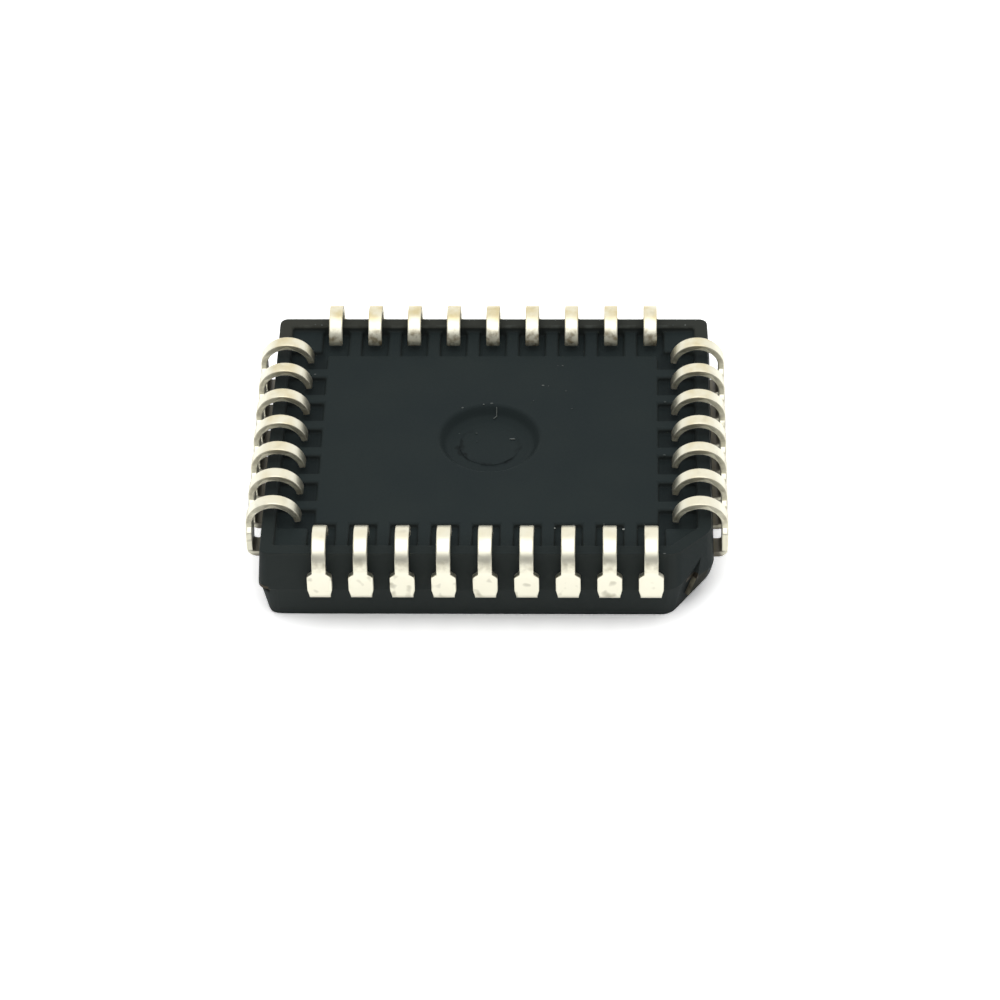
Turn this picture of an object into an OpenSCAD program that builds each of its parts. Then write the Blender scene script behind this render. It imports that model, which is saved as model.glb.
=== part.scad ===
// Plastic leaded chip carrier with J-leads, lying on its marking face with the leads up.
// X runs along the long sides, Z is up, and the origin is the centre of the marking face.
// The leads are numbered from the middle of the +X side, past the chamfered corner.

/* [Moulded body] */
// Height of the half that carries the marking face
marking_half_height = 1.28; // [1.1:0.01:1.5]
// Height of the half that carries the lead tips, up to the rail
lead_half_height = 1.4; // [1.2:0.01:1.5]
// Draft angle of the marking half
marking_half_draft = 11.5; // [4:0.5:14]
// Draft angle of the lead half
lead_half_draft = 4; // [2:0.5:8]
// Corner radius of the marking half at the parting line
marking_half_corner = 0.6; // [0.45:0.01:0.8]
// Corner radius of the lead half at the parting line
lead_half_corner = 0.35; // [0.25:0.01:0.5]
// Size of the 45 degree chamfer at the index corner
index_chamfer = 1.14; // [1:0.01:1.25]
// Angle by which the face left by the moulding gate turns from the chamfer
gate_turn = 11; // [5:1:15]
// Angle by which that face leans in toward the table
gate_lean = 14; // [10:1:18]
// Distance of the gate stub's ridge from the middle of the chamfer, at the parting line
stub_offset = 0.08; // [0:0.01:0.2]
// Angle of the stub's ridge from upright
stub_slant = 16; // [5:1:20]
// Distance that the stub reaches below the parting line at its ridge
stub_drop = 0.78; // [0.5:0.01:0.9]
// Angle at which the stub's underside climbs away from its ridge
stub_underside = 26; // [20:1:30]

/* [Lead side relief] */
// Width of the raised rail round the rim
rail_width = 0.42; // [0.3:0.01:0.5]
// Height of the rail above the middle platform
rail_height = 0.21; // [0.1:0.01:0.25]
// Width of the pocket under each lead tip
pocket_width = 0.86; // [0.7:0.01:0.95]
// Length of the pocket past the lead tip, toward the middle
pocket_reach = 0.41; // [0.3:0.01:0.6]
// Room under each lead tip down to its pocket's floor
tip_clearance = 0.14; // [0.1:0.01:0.2]
// Least depth of a pocket below the platform
pocket_min_depth = 0.2; // [0.1:0.01:0.3]
// Diameter of the ejector-pin dimple
dimple_diameter = 3.2; // [2.5:0.05:3.6]
// Depth of the dimple below the platform
dimple_depth = 0.34; // [0.2:0.01:0.4]
// Draft angle of the dimple's wall
dimple_draft = 35; // [5:1:45]
// Diameter of the raised mark that the ejector pin's face leaves on the dimple's floor
pin_mark_diameter = 1.9; // [1.5:0.05:2.2]
// Height of that mark
pin_mark_height = 0.03; // [0.02:0.01:0.05]

/* [Leads] */
// Number of leads on each long side
long_side_leads = 9; // [7:2:9]
// Number of leads on each short side
short_side_leads = 7; // [5:2:7]
// Distance between neighbouring leads
lead_pitch = 1.27; // [1.24:0.01:1.29]
// Distance over the outer faces of the leads along X
lead_span_length = 14.92; // [14.86:0.01:15.11]
// Distance over the outer faces of the leads along Y
lead_span_width = 12.38; // [12.32:0.01:12.57]
// Distance from the leads' outer faces to the body's walls at the parting line
lead_standout = 0.435; // [0.42:0.005:0.57]
// Height of the leads' crests above the marking face
seating_height = 3.25; // [3.18:0.01:3.56]
// Thickness of the lead strip
lead_thickness = 0.2; // [0.18:0.01:0.25]
// Width of the lead from its shoulder to its tip
lead_width = 0.43; // [0.33:0.01:0.53]
// Width of the lead at its shoulder
shoulder_width = 0.76; // [0.66:0.01:0.81]
// Width of the lead where it leaves the body
neck_width = 0.64; // [0.4:0.01:0.66]
// Height from the parting line to where the lead starts to widen
shoulder_rise = 0.1; // [0.1:0.01:0.2]
// Height over which the neck widens to the shoulder
neck_taper = 0.24; // [0.1:0.01:0.3]
// Height of the shoulder at its full width
shoulder_height = 0.53; // [0.45:0.01:0.9]
// Height over which the shoulder narrows to the lead
shoulder_taper = 0.13; // [0.04:0.01:0.25]
// Outer radius of the bend below the shoulder
bend_radius = 0.3; // [0.26:0.01:0.34]
// Outer radius of the rolled J
hook_radius = 0.87; // [0.8:0.01:0.95]
// Angle through which the J is rolled
hook_sweep = 172; // [160:1:178]

/* [Inside the body] */
// Length of the die paddle along X
paddle_length = 5.2; // [4.6:0.1:5.4]
// Width of the die paddle along Y
paddle_width = 4.4; // [4:0.1:4.6]
// Distance that the paddle is pressed out of the plane of the leads, away from the die
paddle_offset = 0.2; // [0.1:0.01:0.3]
// Width of each tie bar
tie_bar_width = 0.4; // [0.3:0.01:0.5]
// Gap between the paddle's edge and the tips of the lead fingers
finger_gap = 0.5; // [0.4:0.01:0.6]
// Distance of the end fingers' tips from the ends of the paddle's edge
finger_inset = 0.3; // [0.2:0.01:0.4]
// Least gap between a finger and a tie bar
finger_spacing = 0.2; // [0.15:0.01:0.25]
// Width of a finger at its tip
finger_tip_width = 0.3; // [0.25:0.01:0.35]
// Length of the straight part of a finger inside the body
finger_straight = 1; // [0.8:0.05:1.1]
// Length of the die along X
die_length = 4.6; // [4:0.1:4.6]
// Width of the die along Y
die_width = 3.8; // [3.4:0.1:3.8]
// Thickness of the die
die_thickness = 0.35; // [0.25:0.01:0.4]
// Thickness of the die's adhesive
attach_thickness = 0.03; // [0.02:0.01:0.05]
// Diameter of a bond wire
wire_diameter = 0.03; // [0.025:0.005:0.04]
// Height that a bond wire bows out from the line between its ends
wire_bow = 0.22; // [0.15:0.01:0.3]
// Distance of the bond pads from the die's edge
pad_inset = 0.15; // [0.1:0.01:0.2]
// Distance of each wire's bond from its finger's tip
bond_inset = 0.15; // [0.1:0.01:0.25]

/* [Hidden] */
$fn = 48;
cut_over = 1;
lead_count = 2 * (long_side_leads + short_side_leads);
// Length and width of the body at the parting line
body_length = lead_span_length - 2 * lead_standout;
body_width = lead_span_width - 2 * lead_standout;
parting_z = marking_half_height;
rail_z = marking_half_height + lead_half_height;
platform_z = rail_z - rail_height;
lead_half_inset = lead_half_height * tan(lead_half_draft);
marking_half_inset = marking_half_height * tan(marking_half_draft);
// Distance from the centre to the index chamfer at the parting line, along its normal
chamfer_distance = (body_length / 2 + body_width / 2 - index_chamfer) / sqrt(2);
rail_inner_length = body_length - 2 * (lead_half_inset + rail_width);
rail_inner_width = body_width - 2 * (lead_half_inset + rail_width);
rail_inner_chamfer = chamfer_distance - lead_half_inset - rail_width;
hook_z = seating_height - hook_radius;
tip_z = hook_z + (hook_radius - lead_thickness) * sin(hook_sweep);
pocket_z = min(platform_z - pocket_min_depth, tip_z - tip_clearance);
lead_low_z = parting_z - lead_thickness / 2;
lead_top_z = parting_z + lead_thickness / 2;
paddle_low_z = lead_low_z + paddle_offset;
die_top_z = paddle_low_z - attach_thickness;
die_low_z = die_top_z - die_thickness;

LEAD_NAMES = [for (pin = [1:lead_count]) str("lead_", pin < 10 ? "0" : "", pin)];

// Place of a pin in the ring of leads, counted from the +Y end of the +X side
function ring_place(pin) = (pin - 1 + (short_side_leads - 1) / 2) % lead_count;
// Side of a pin: 0 is +X, 1 is -Y, 2 is -X and 3 is +Y
function side(pin) =
    let (place = ring_place(pin))
    place < short_side_leads ? 0
    : place < short_side_leads + long_side_leads ? 1
    : place < 2 * short_side_leads + long_side_leads ? 2 : 3;
function on_long_side(pin) = side(pin) % 2 == 1;
function side_leads(pin) = on_long_side(pin) ? long_side_leads : short_side_leads;
function side_start(pin) =
    let (s = side(pin))
    s == 0 ? 0 : s == 1 ? short_side_leads
    : s == 2 ? short_side_leads + long_side_leads : 2 * short_side_leads + long_side_leads;
// Distance of a pin along its side from the side's middle
function along(pin) = ((side_leads(pin) - 1) / 2 - (ring_place(pin) - side_start(pin))) * lead_pitch;
// Half of a size across the pin's own side, and half of it along the side
function across_half(pin, length, width) = (on_long_side(pin) ? width : length) / 2;
function along_half(pin, length, width) = (on_long_side(pin) ? length : width) / 2;
// Outer face of a pin's lead, tip of its finger and its bond pad, as distances from the centre
function lead_face(pin) = across_half(pin, lead_span_length, lead_span_width);
function finger_reach(pin) = across_half(pin, paddle_length, paddle_width) + finger_gap;
function pad_reach(pin) = across_half(pin, die_length, die_width) - pad_inset;
// Places along a side at the finger's tip and at the bond pad, drawn together toward the middle
function end_along(pin) = (side_leads(pin) - 1) / 2 * lead_pitch;
function finger_along(pin) =
    along(pin) / end_along(pin) * (along_half(pin, paddle_length, paddle_width) - finger_inset);
function pad_along(pin) =
    along(pin) / end_along(pin) * (along_half(pin, die_length, die_width) - 2 * pad_inset);
// How near the centre a finger may come at a place along its side, with the tie bar beside it
function finger_limit(pin, place) =
    let (
        start = [along_half(pin, paddle_length, paddle_width), across_half(pin, paddle_length, paddle_width)],
        run = [along_half(pin, body_length, body_width), across_half(pin, body_length, body_width)] - start
    )
    start.y + (place - start.x) * run.y / run.x + (tie_bar_width / 2 + finger_spacing) * norm(run) / run.x;
// Where a finger's straight part ends and its slant begins
function finger_knee(pin) =
    max(
        across_half(pin, body_length, body_width) - finger_straight,
        finger_limit(pin, abs(along(pin)) + neck_width / 2)
    );
// Place of a wire's bond on its slanting finger, a little way in from the tip
function bond_reach(pin) = finger_reach(pin) + bond_inset;
function bond_along(pin) =
    finger_along(pin)
    + (along(pin) - finger_along(pin)) * bond_inset / (finger_knee(pin) - finger_reach(pin));

// Puts what is drawn facing +X on the side of a pin
module at_side(pin) {
    rotate([0, 0, -90 * side(pin)]) children();
}

// Block with drafted walls and cone-shaped corners, from its large face up
module drafted_block(height, inset, corner) {
    straight_length = body_length - 2 * corner;
    straight_width = body_width - 2 * corner;
    rotate([90, 0, 90])
        linear_extrude(straight_length, center = true)
            wall_section(body_width, height, inset);
    rotate([90, 0, 0])
        linear_extrude(straight_width, center = true)
            wall_section(body_length, height, inset);
    for (x = [-1, 1], y = [-1, 1])
        translate([x * straight_length / 2, y * straight_width / 2, 0])
            cylinder(h = height, r1 = corner, r2 = corner - inset);
}

module wall_section(size, height, inset) {
    polygon([[-size / 2, 0], [size / 2, 0], [size / 2 - inset, height], [inset - size / 2, height]]);
}

// What the index chamfer takes off, with the same draft as the walls
module index_corner() {
    far = chamfer_distance + index_chamfer;
    low_inset = (marking_half_height + cut_over) * tan(marking_half_draft);
    high_inset = (lead_half_height + cut_over) * tan(lead_half_draft);
    rotate([90, 0, -45])
        linear_extrude(4 * index_chamfer, center = true)
            polygon([
                [chamfer_distance - low_inset, -cut_over],
                [chamfer_distance, parting_z],
                [chamfer_distance - high_inset, rail_z + cut_over],
                [far, rail_z + cut_over],
                [far, -cut_over]
            ]);
}

// What the broken gate took with it: a flat face from the chamfer's -X end, beside a stub that was left
module gate_break() {
    size = 4 * index_chamfer;
    difference() {
        translate([body_length / 2 - index_chamfer, -body_width / 2, parting_z])
            rotate([0, gate_lean, gate_turn - 45])
                translate([0, -size / 2, -size / 2])
                    cube(size);
        gate_stub(size);
    }
}

// Prism on the +X part of the index chamfer, where the stub keeps the chamfer's own face
module gate_stub(size) {
    chamfer_middle = (body_length - body_width) / 2 / sqrt(2);
    ridge_foot = stub_offset - stub_drop * tan(stub_slant);
    rotate([90, 0, 45])
        translate([chamfer_middle, parting_z, chamfer_distance - size])
            linear_extrude(2 * size)
                polygon([
                    [ridge_foot, -stub_drop],
                    [size, (size - ridge_foot) * tan(stub_underside) - stub_drop],
                    [size, size],
                    [stub_offset + size * tan(stub_slant), size]
                ]);
}

// The moulding as a plain block, before its relief
module body_envelope() {
    difference() {
        union() {
            translate([0, 0, parting_z])
                drafted_block(lead_half_height, lead_half_inset, lead_half_corner);
            translate([0, 0, parting_z])
                mirror([0, 0, 1])
                    drafted_block(marking_half_height, marking_half_inset, marking_half_corner);
        }
        index_corner();
        gate_break();
    }
}

// Room inside the rail, down to the platform
module rail_recess() {
    corner_sum = rail_inner_chamfer * sqrt(2);
    x = rail_inner_length / 2;
    y = rail_inner_width / 2;
    translate([0, 0, platform_z])
        linear_extrude(rail_height + cut_over)
            polygon([[-x, -y], [corner_sum - y, -y], [x, x - corner_sum], [x, y], [-x, y]]);
}

// Pocket for the tip of one lead, open at the top and closed by the rail
module tip_pocket(pin) {
    outer = across_half(pin, rail_inner_length, rail_inner_width);
    inner = lead_face(pin) - 2 * hook_radius - pocket_reach;
    at_side(pin)
        translate([inner, along(pin) - pocket_width / 2, pocket_z])
            cube([outer - inner, pocket_width, platform_z - pocket_z + cut_over]);
}

// Dimple that the ejector pin leaves in the middle of the platform, less the raised mark on its floor
module ejector_dimple() {
    floor_z = platform_z - dimple_depth;
    floor_radius = dimple_diameter / 2 - dimple_depth * tan(dimple_draft);
    over_radius = dimple_diameter / 2 + cut_over * tan(dimple_draft);
    difference() {
        translate([0, 0, floor_z])
            cylinder(h = dimple_depth + cut_over, r1 = floor_radius, r2 = over_radius);
        translate([0, 0, floor_z - cut_over])
            cylinder(h = cut_over + pin_mark_height, d = pin_mark_diameter);
    }
}

module moulded_body() {
    color("#2d3232")
        difference() {
            body_envelope();
            rail_recess();
            for (pin = [1:lead_count]) tip_pocket(pin);
            ejector_dimple();
            for (pin = [1:lead_count]) lead_finger(pin, lead_face(pin));
            paddle_form();
            attach_form();
            die_form();
            wire_form();
        }
}

// Flat part of a lead, from a given end outside the wall straight in, then slanting to its bond
module lead_finger(pin, outer_end) {
    knee = finger_knee(pin);
    at_side(pin)
        translate([0, 0, lead_low_z])
            linear_extrude(lead_thickness)
                polygon([
                    [outer_end, along(pin) - neck_width / 2],
                    [outer_end, along(pin) + neck_width / 2],
                    [knee, along(pin) + neck_width / 2],
                    [finger_reach(pin), finger_along(pin) + finger_tip_width / 2],
                    [finger_reach(pin), finger_along(pin) - finger_tip_width / 2],
                    [knee, along(pin) - neck_width / 2]
                ]);
}

// Bent strip about the centre of its bend, between two angles less than half a turn apart
module strip_arc(radius, from, to) {
    reach = 2 * radius;
    intersection() {
        difference() {
            circle(radius);
            circle(radius - lead_thickness);
        }
        polygon([[0, 0], for (angle = [from, (from + to) / 2, to]) reach * [cos(angle), sin(angle)]]);
    }
}

// Side view of the bent strip outside the body: X is the distance from the centre and Y is the height
module lead_section(pin) {
    face = lead_face(pin);
    bend_z = lead_low_z + bend_radius;
    translate([face - bend_radius, bend_z]) strip_arc(bend_radius, -90, 0);
    translate([face - lead_thickness, bend_z]) square([lead_thickness, hook_z - bend_z]);
    translate([face - hook_radius, hook_z]) strip_arc(hook_radius, 0, hook_sweep);
}

// Outline of the flat blank seen from outside: X runs along the side and Y is the height
module lead_outline() {
    widen_z = parting_z + shoulder_rise;
    full_z = widen_z + neck_taper;
    narrow_z = full_z + shoulder_height;
    slim_z = narrow_z + shoulder_taper;
    polygon([
        [-neck_width / 2, lead_low_z],
        [neck_width / 2, lead_low_z],
        [neck_width / 2, widen_z],
        [shoulder_width / 2, full_z],
        [shoulder_width / 2, narrow_z],
        [lead_width / 2, slim_z],
        [lead_width / 2, seating_height],
        [-lead_width / 2, seating_height],
        [-lead_width / 2, slim_z],
        [-shoulder_width / 2, narrow_z],
        [-shoulder_width / 2, full_z],
        [-neck_width / 2, widen_z]
    ]);
}

// The lead outside the body: its bent section, cut to the blank's outline
module lead_outside(pin) {
    face = lead_face(pin);
    crest = face - hook_radius;
    at_side(pin)
        translate([0, along(pin), 0])
            intersection() {
                rotate([90, 0, 0])
                    linear_extrude(shoulder_width + cut_over, center = true) lead_section(pin);
                union() {
                    translate([crest, 0, 0])
                        rotate([90, 0, 90])
                            linear_extrude(hook_radius + cut_over) lead_outline();
                    translate([crest - hook_radius - cut_over, -lead_width / 2, tip_z])
                        cube([hook_radius + cut_over, lead_width, seating_height]);
                }
            }
}

module lead(pin) {
    color("#d8d4c5")
        union() {
            lead_outside(pin);
            lead_finger(pin, lead_face(pin) - bend_radius);
        }
}

// Tie bar along the diagonal to one corner, with its step from the paddle to the plane of the leads
module tie_bar(x, y) {
    corner = [x * body_length / 2, y * body_width / 2];
    start = [x * paddle_length / 2, y * paddle_width / 2];
    run = corner - start;
    step = paddle_offset;
    slant = step + lead_thickness;
    translate([start.x, start.y, 0])
        rotate([90, 0, atan2(run.y, run.x)])
            linear_extrude(tie_bar_width, center = true)
                polygon([
                    [-tie_bar_width, paddle_low_z],
                    [slant, paddle_low_z],
                    [slant + step, lead_low_z],
                    [norm(run), lead_low_z],
                    [norm(run), lead_top_z],
                    [slant + step, lead_top_z],
                    [slant, paddle_low_z + lead_thickness],
                    [-tie_bar_width, paddle_low_z + lead_thickness]
                ]);
}

module paddle_form() {
    intersection() {
        union() {
            translate([-paddle_length / 2, -paddle_width / 2, paddle_low_z])
                cube([paddle_length, paddle_width, lead_thickness]);
            for (x = [-1, 1], y = [-1, 1]) tie_bar(x, y);
        }
        body_envelope();
    }
}

module die_paddle() {
    color("#b98a5e") paddle_form();
}

module attach_form() {
    translate([-die_length / 2, -die_width / 2, die_top_z])
        cube([die_length, die_width, attach_thickness]);
}

module die_attach() {
    color("#c3c6c9") attach_form();
}

module die_form() {
    translate([-die_length / 2, -die_width / 2, die_low_z])
        cube([die_length, die_width, die_thickness]);
}

module die() {
    color("#6d737c") die_form();
}

// One bond wire, an arc that bows toward the marking face from the die's pad to the finger's tip
module bond_wire(pin) {
    pad = [pad_reach(pin), pad_along(pin), die_low_z];
    bond = [bond_reach(pin), bond_along(pin), lead_low_z];
    run = bond - pad;
    level = norm([run.x, run.y]);
    chord = norm(run);
    radius = (chord * chord / 4 + wire_bow * wire_bow) / (2 * wire_bow);
    half_angle = asin(chord / 2 / radius);
    over_angle = 2;
    at_side(pin)
        translate(pad)
            rotate([90, 0, atan2(run.y, run.x)])
                rotate(atan2(run.z, level))
                    translate([chord / 2, radius - wire_bow])
                        rotate(-90 - half_angle - over_angle)
                            rotate_extrude(angle = 2 * (half_angle + over_angle))
                                translate([radius, 0]) circle(d = wire_diameter);
}

module wire_form() {
    difference() {
        for (pin = [1:lead_count]) bond_wire(pin);
        die_form();
        for (pin = [1:lead_count]) lead_finger(pin, lead_face(pin));
    }
}

module bond_wires() {
    color("#d8b04a") wire_form();
}

moulded_body();
die_paddle();
die_attach();
die();
bond_wires();
for (pin = [1:lead_count])
    lead(pin);
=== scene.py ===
# %% [markdown]
# A plastic leaded chip carrier lies on its marking face, with its J-leads in the air.
# The real one is a lead frame stamped from copper strip, a die bonded to its paddle, and a block of
# black epoxy moulded round both. The leads are then plated with tin and rolled under the body.
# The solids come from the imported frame. This lesson gives them rounded edges, finishes, dust and light.

# %% Load the frame
import math
import bmesh
import bpy
from mathutils import Matrix, Vector, noise


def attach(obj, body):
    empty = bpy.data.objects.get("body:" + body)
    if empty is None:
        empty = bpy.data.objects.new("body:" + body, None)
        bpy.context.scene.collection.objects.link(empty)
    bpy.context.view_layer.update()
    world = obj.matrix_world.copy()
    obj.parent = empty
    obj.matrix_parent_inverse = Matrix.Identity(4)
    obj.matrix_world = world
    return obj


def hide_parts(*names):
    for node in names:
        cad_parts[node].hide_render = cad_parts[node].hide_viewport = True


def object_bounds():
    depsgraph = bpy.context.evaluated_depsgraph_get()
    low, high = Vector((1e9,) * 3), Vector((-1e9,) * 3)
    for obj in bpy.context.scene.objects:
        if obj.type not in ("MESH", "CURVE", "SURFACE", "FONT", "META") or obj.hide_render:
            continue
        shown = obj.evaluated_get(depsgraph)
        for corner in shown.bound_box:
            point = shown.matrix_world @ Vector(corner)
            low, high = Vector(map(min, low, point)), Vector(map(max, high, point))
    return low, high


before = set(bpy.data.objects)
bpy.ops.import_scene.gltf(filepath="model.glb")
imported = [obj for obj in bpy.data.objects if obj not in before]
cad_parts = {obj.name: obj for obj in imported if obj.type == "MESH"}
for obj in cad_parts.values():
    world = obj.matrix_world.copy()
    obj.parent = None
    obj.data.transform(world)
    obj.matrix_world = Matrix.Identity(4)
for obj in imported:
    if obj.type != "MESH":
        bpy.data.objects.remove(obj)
cad_low, cad_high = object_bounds()
MM = 0.001
print("solids:", len(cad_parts), "box in mm:", [round(v / MM, 3) for v in cad_high - cad_low])

# %% [markdown]
# A finish is a small graph of nodes. Two helpers keep the graphs short: one turns a colour that is
# given as a hex value into the linear light that the renderer adds up, and one adds a node,
# sets it and links it. A pattern's scale is the number of its features in a metre, so it is worked out
# from the size of one feature in millimetres.

# %% Helpers for colours and nodes
def linear(hex_colour):
    channels = [int(hex_colour[i:i + 2], 16) / 255 for i in (1, 3, 5)]
    return [c / 12.92 if c <= 0.04045 else ((c + 0.055) / 1.055) ** 2.4 for c in channels] + [1.0]


def per_metre(size_mm):
    return 1 / (size_mm * MM)


def add(tree, kind, inputs=None, **settings):
    made = tree.nodes.new(kind)
    for name, value in settings.items():
        setattr(made, name, value)
    for socket, value in (inputs or {}).items():
        if isinstance(value, bpy.types.NodeSocket):
            tree.links.new(value, made.inputs[socket])
        else:
            made.inputs[socket].default_value = value
    return made


def new_material(name):
    material = bpy.data.materials.new(name)
    material.use_nodes = True
    shader = material.node_tree.nodes["Principled BSDF"]
    return material, material.node_tree, shader


print("middle grey as linear light:", [round(c, 3) for c in linear("#808080")])

# %% [markdown]
# The camera stands where the photographer stood: in front of a long side, looking down at the chip
# through a long lens. Its place was found by matching the corners of the body and the rows of leads,
# and it is given as angles and a distance about a point near the middle of the marking face.

# %% Camera
CAMERA_TARGET = Vector((0.2927, -0.2708, 0.069)) * MM
CAMERA_DISTANCE = 138.153 * MM
CAMERA_AZIMUTH = math.radians(2.165)
CAMERA_ELEVATION = math.radians(41.80)
CAMERA_ROLL = math.radians(-1.353)
CAMERA_LENS = 156.02
SENSOR_WIDTH = 36
NEAREST_SEEN = CAMERA_DISTANCE / 10
FARTHEST_SEEN = CAMERA_DISTANCE * 100

toward_camera = Vector((
    math.sin(CAMERA_AZIMUTH) * math.cos(CAMERA_ELEVATION),
    -math.cos(CAMERA_AZIMUTH) * math.cos(CAMERA_ELEVATION),
    math.sin(CAMERA_ELEVATION),
))
level_right = Vector((math.cos(CAMERA_AZIMUTH), math.sin(CAMERA_AZIMUTH), 0))
level_up = toward_camera.cross(level_right)
camera_right = math.cos(CAMERA_ROLL) * level_right + math.sin(CAMERA_ROLL) * level_up
camera_up = toward_camera.cross(camera_right)

camera = bpy.data.objects.new("camera", bpy.data.cameras.new("camera"))
bpy.context.scene.collection.objects.link(camera)
camera.data.lens = CAMERA_LENS
camera.data.sensor_width = SENSOR_WIDTH
camera.data.clip_start = NEAREST_SEEN
camera.data.clip_end = FARTHEST_SEEN
axes = Matrix((camera_right, camera_up, toward_camera)).transposed().to_4x4()
camera.matrix_world = Matrix.Translation(CAMERA_TARGET + CAMERA_DISTANCE * toward_camera) @ axes
bpy.context.scene.camera = camera
print("camera at mm:", [round(v / MM, 1) for v in camera.matrix_world.translation])

# %% [markdown]
# The chip lies on a plain white table under a large soft lamp that hangs almost straight above it in a
# pale room. The lamp gives the tight dark shadow along the chip's foot and the white crests of the
# leads. The room is dimmer on the photographer's side, and that gives the leads their one darker band.
# Both are drawn by direction in the world's graph, because to a thing this small a lamp and a room are
# as good as infinitely far away.

# %% Light
ROOM_FRONT = 0.34
ROOM_BACK = 1.08
ROOM_TURN = 0.7
LAMP_LIGHT = 1.4
LAMP_TILT = math.radians(-18)
LAMP_EDGE = math.cos(math.radians(40))
LAMP_FULL = math.cos(math.radians(20))

bpy.context.scene.view_settings.view_transform = "Standard"
world = bpy.data.worlds.new("soft studio")
bpy.context.scene.world = world
world.use_nodes = True
sky = world.node_tree
direction = add(sky, "ShaderNodeTexCoord").outputs["Generated"]
lamp_middle = (0, math.sin(LAMP_TILT), math.cos(LAMP_TILT))
toward_lamp = add(sky, "ShaderNodeVectorMath", {0: direction, 1: lamp_middle}, operation="DOT_PRODUCT")
lamp = add(
    sky, "ShaderNodeMapRange",
    {"Value": toward_lamp.outputs["Value"], "From Min": LAMP_EDGE, "From Max": LAMP_FULL,
     "To Max": LAMP_LIGHT},
    interpolation_type="SMOOTHSTEP")
part = add(sky, "ShaderNodeSeparateXYZ", {0: direction})
room = add(
    sky, "ShaderNodeMapRange",
    {"Value": part.outputs["Y"], "From Min": -ROOM_TURN, "From Max": ROOM_TURN,
     "To Min": ROOM_FRONT, "To Max": ROOM_BACK},
    interpolation_type="SMOOTHSTEP")
strength = add(
    sky, "ShaderNodeMath", {0: room.outputs["Result"], 1: lamp.outputs["Result"]}, operation="ADD")
background = sky.nodes["Background"]
sky.links.new(strength.outputs[0], background.inputs["Strength"])
background.inputs["Color"].default_value = linear("#ffffff")
print("light of the room:", ROOM_FRONT, "to", ROOM_BACK, "and of the lamp:", LAMP_LIGHT)

# %% [markdown]
# The table is white paper. The camera and the mirror rays see it a little whiter than the light on it
# makes it, so the page stays white and the metal shows it, but it keeps the chip's shadow. A node that
# knows the kind of ray does this, so that no more light has to fall on the chip.

# %% Table
TABLE_SIZE = 600 * MM
TABLE_WHITE = 0.9
TABLE_MIRRORED_WHITE = 1.25
TABLE_SEEN_WHITE = 1.6

half = TABLE_SIZE / 2
corners = [(-half, -half, 0), (half, -half, 0), (half, half, 0), (-half, half, 0)]
table_mesh = bpy.data.meshes.new("table")
table_mesh.from_pydata(corners, [], [(0, 1, 2, 3)])
table = bpy.data.objects.new("table", table_mesh)
bpy.context.scene.collection.objects.link(table)
table_paper, tree, shader = new_material("white table paper")
tree.nodes.remove(shader)
rays = add(tree, "ShaderNodeLightPath")
mirrored = add(
    tree, "ShaderNodeMath",
    {0: rays.outputs["Is Glossy Ray"], 1: rays.outputs["Is Transmission Ray"]}, operation="MAXIMUM")
white = add(
    tree, "ShaderNodeMapRange",
    {"Value": mirrored.outputs[0], "To Min": TABLE_WHITE, "To Max": TABLE_MIRRORED_WHITE})
white = add(
    tree, "ShaderNodeMapRange",
    {"Value": rays.outputs["Is Camera Ray"], "To Min": white.outputs["Result"],
     "To Max": TABLE_SEEN_WHITE})
paper = add(tree, "ShaderNodeBsdfDiffuse", {"Color": white.outputs["Result"]})
tree.links.new(paper.outputs[0], tree.nodes["Material Output"].inputs["Surface"])
table_mesh.materials.append(table_paper)
print("table white:", TABLE_WHITE, "as the page:", TABLE_SEEN_WHITE)

# %% [markdown]
# Black moulding epoxy is glass-filled resin pressed into a spark-eroded steel mould, so its skin is a
# fine matte grain with a weak sheen. It is nearly black, a little blue-green, with faint cloudy patches
# where resin and filler spread unevenly. A slow noise mixes its two colours, and the next cells make
# the marks, and the painted light and shade, that are laid over them.

# %% Epoxy: cloudy resin
CLOUD_MM = 2.2
RESIN = "#20282a"
RESIN_CLOUD = "#282f2e"

moulded_epoxy, tree, shader = new_material("moulded epoxy")
place = add(tree, "ShaderNodeTexCoord").outputs["Object"]
cloud = add(tree, "ShaderNodeTexNoise", {"Vector": place, "Scale": per_metre(CLOUD_MM), "Detail": 3.0})
resin = add(
    tree, "ShaderNodeMix",
    {"Factor": cloud.outputs["Fac"], "A": linear(RESIN), "B": linear(RESIN_CLOUD)},
    data_type="RGBA")
print("resin clouds of", CLOUD_MM, "mm")

# %% [markdown]
# The walls are painted a little paler than the level faces, as painted light that lifts the shade on
# them. The dimple's wall is not, and the slanting face of the index corner is less so. A wall is
# known by its normal, whose Z is small there. The product of the normal's X and Y finds the slanting
# face, because both are large only there.

# %% Epoxy: painted light on the walls
WALL_STEEP = 0.3
WALL_LEVEL = 0.95
INDEX_SLANT = -0.45
PLAIN_SLANT = -0.3
INDEX_SHARE = 0.45
DIMPLE_EDGE = 1.6 * MM
DIMPLE_FADE = 0.3 * MM
WALL_PAINTED_LIGHT = "#303534"

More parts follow.
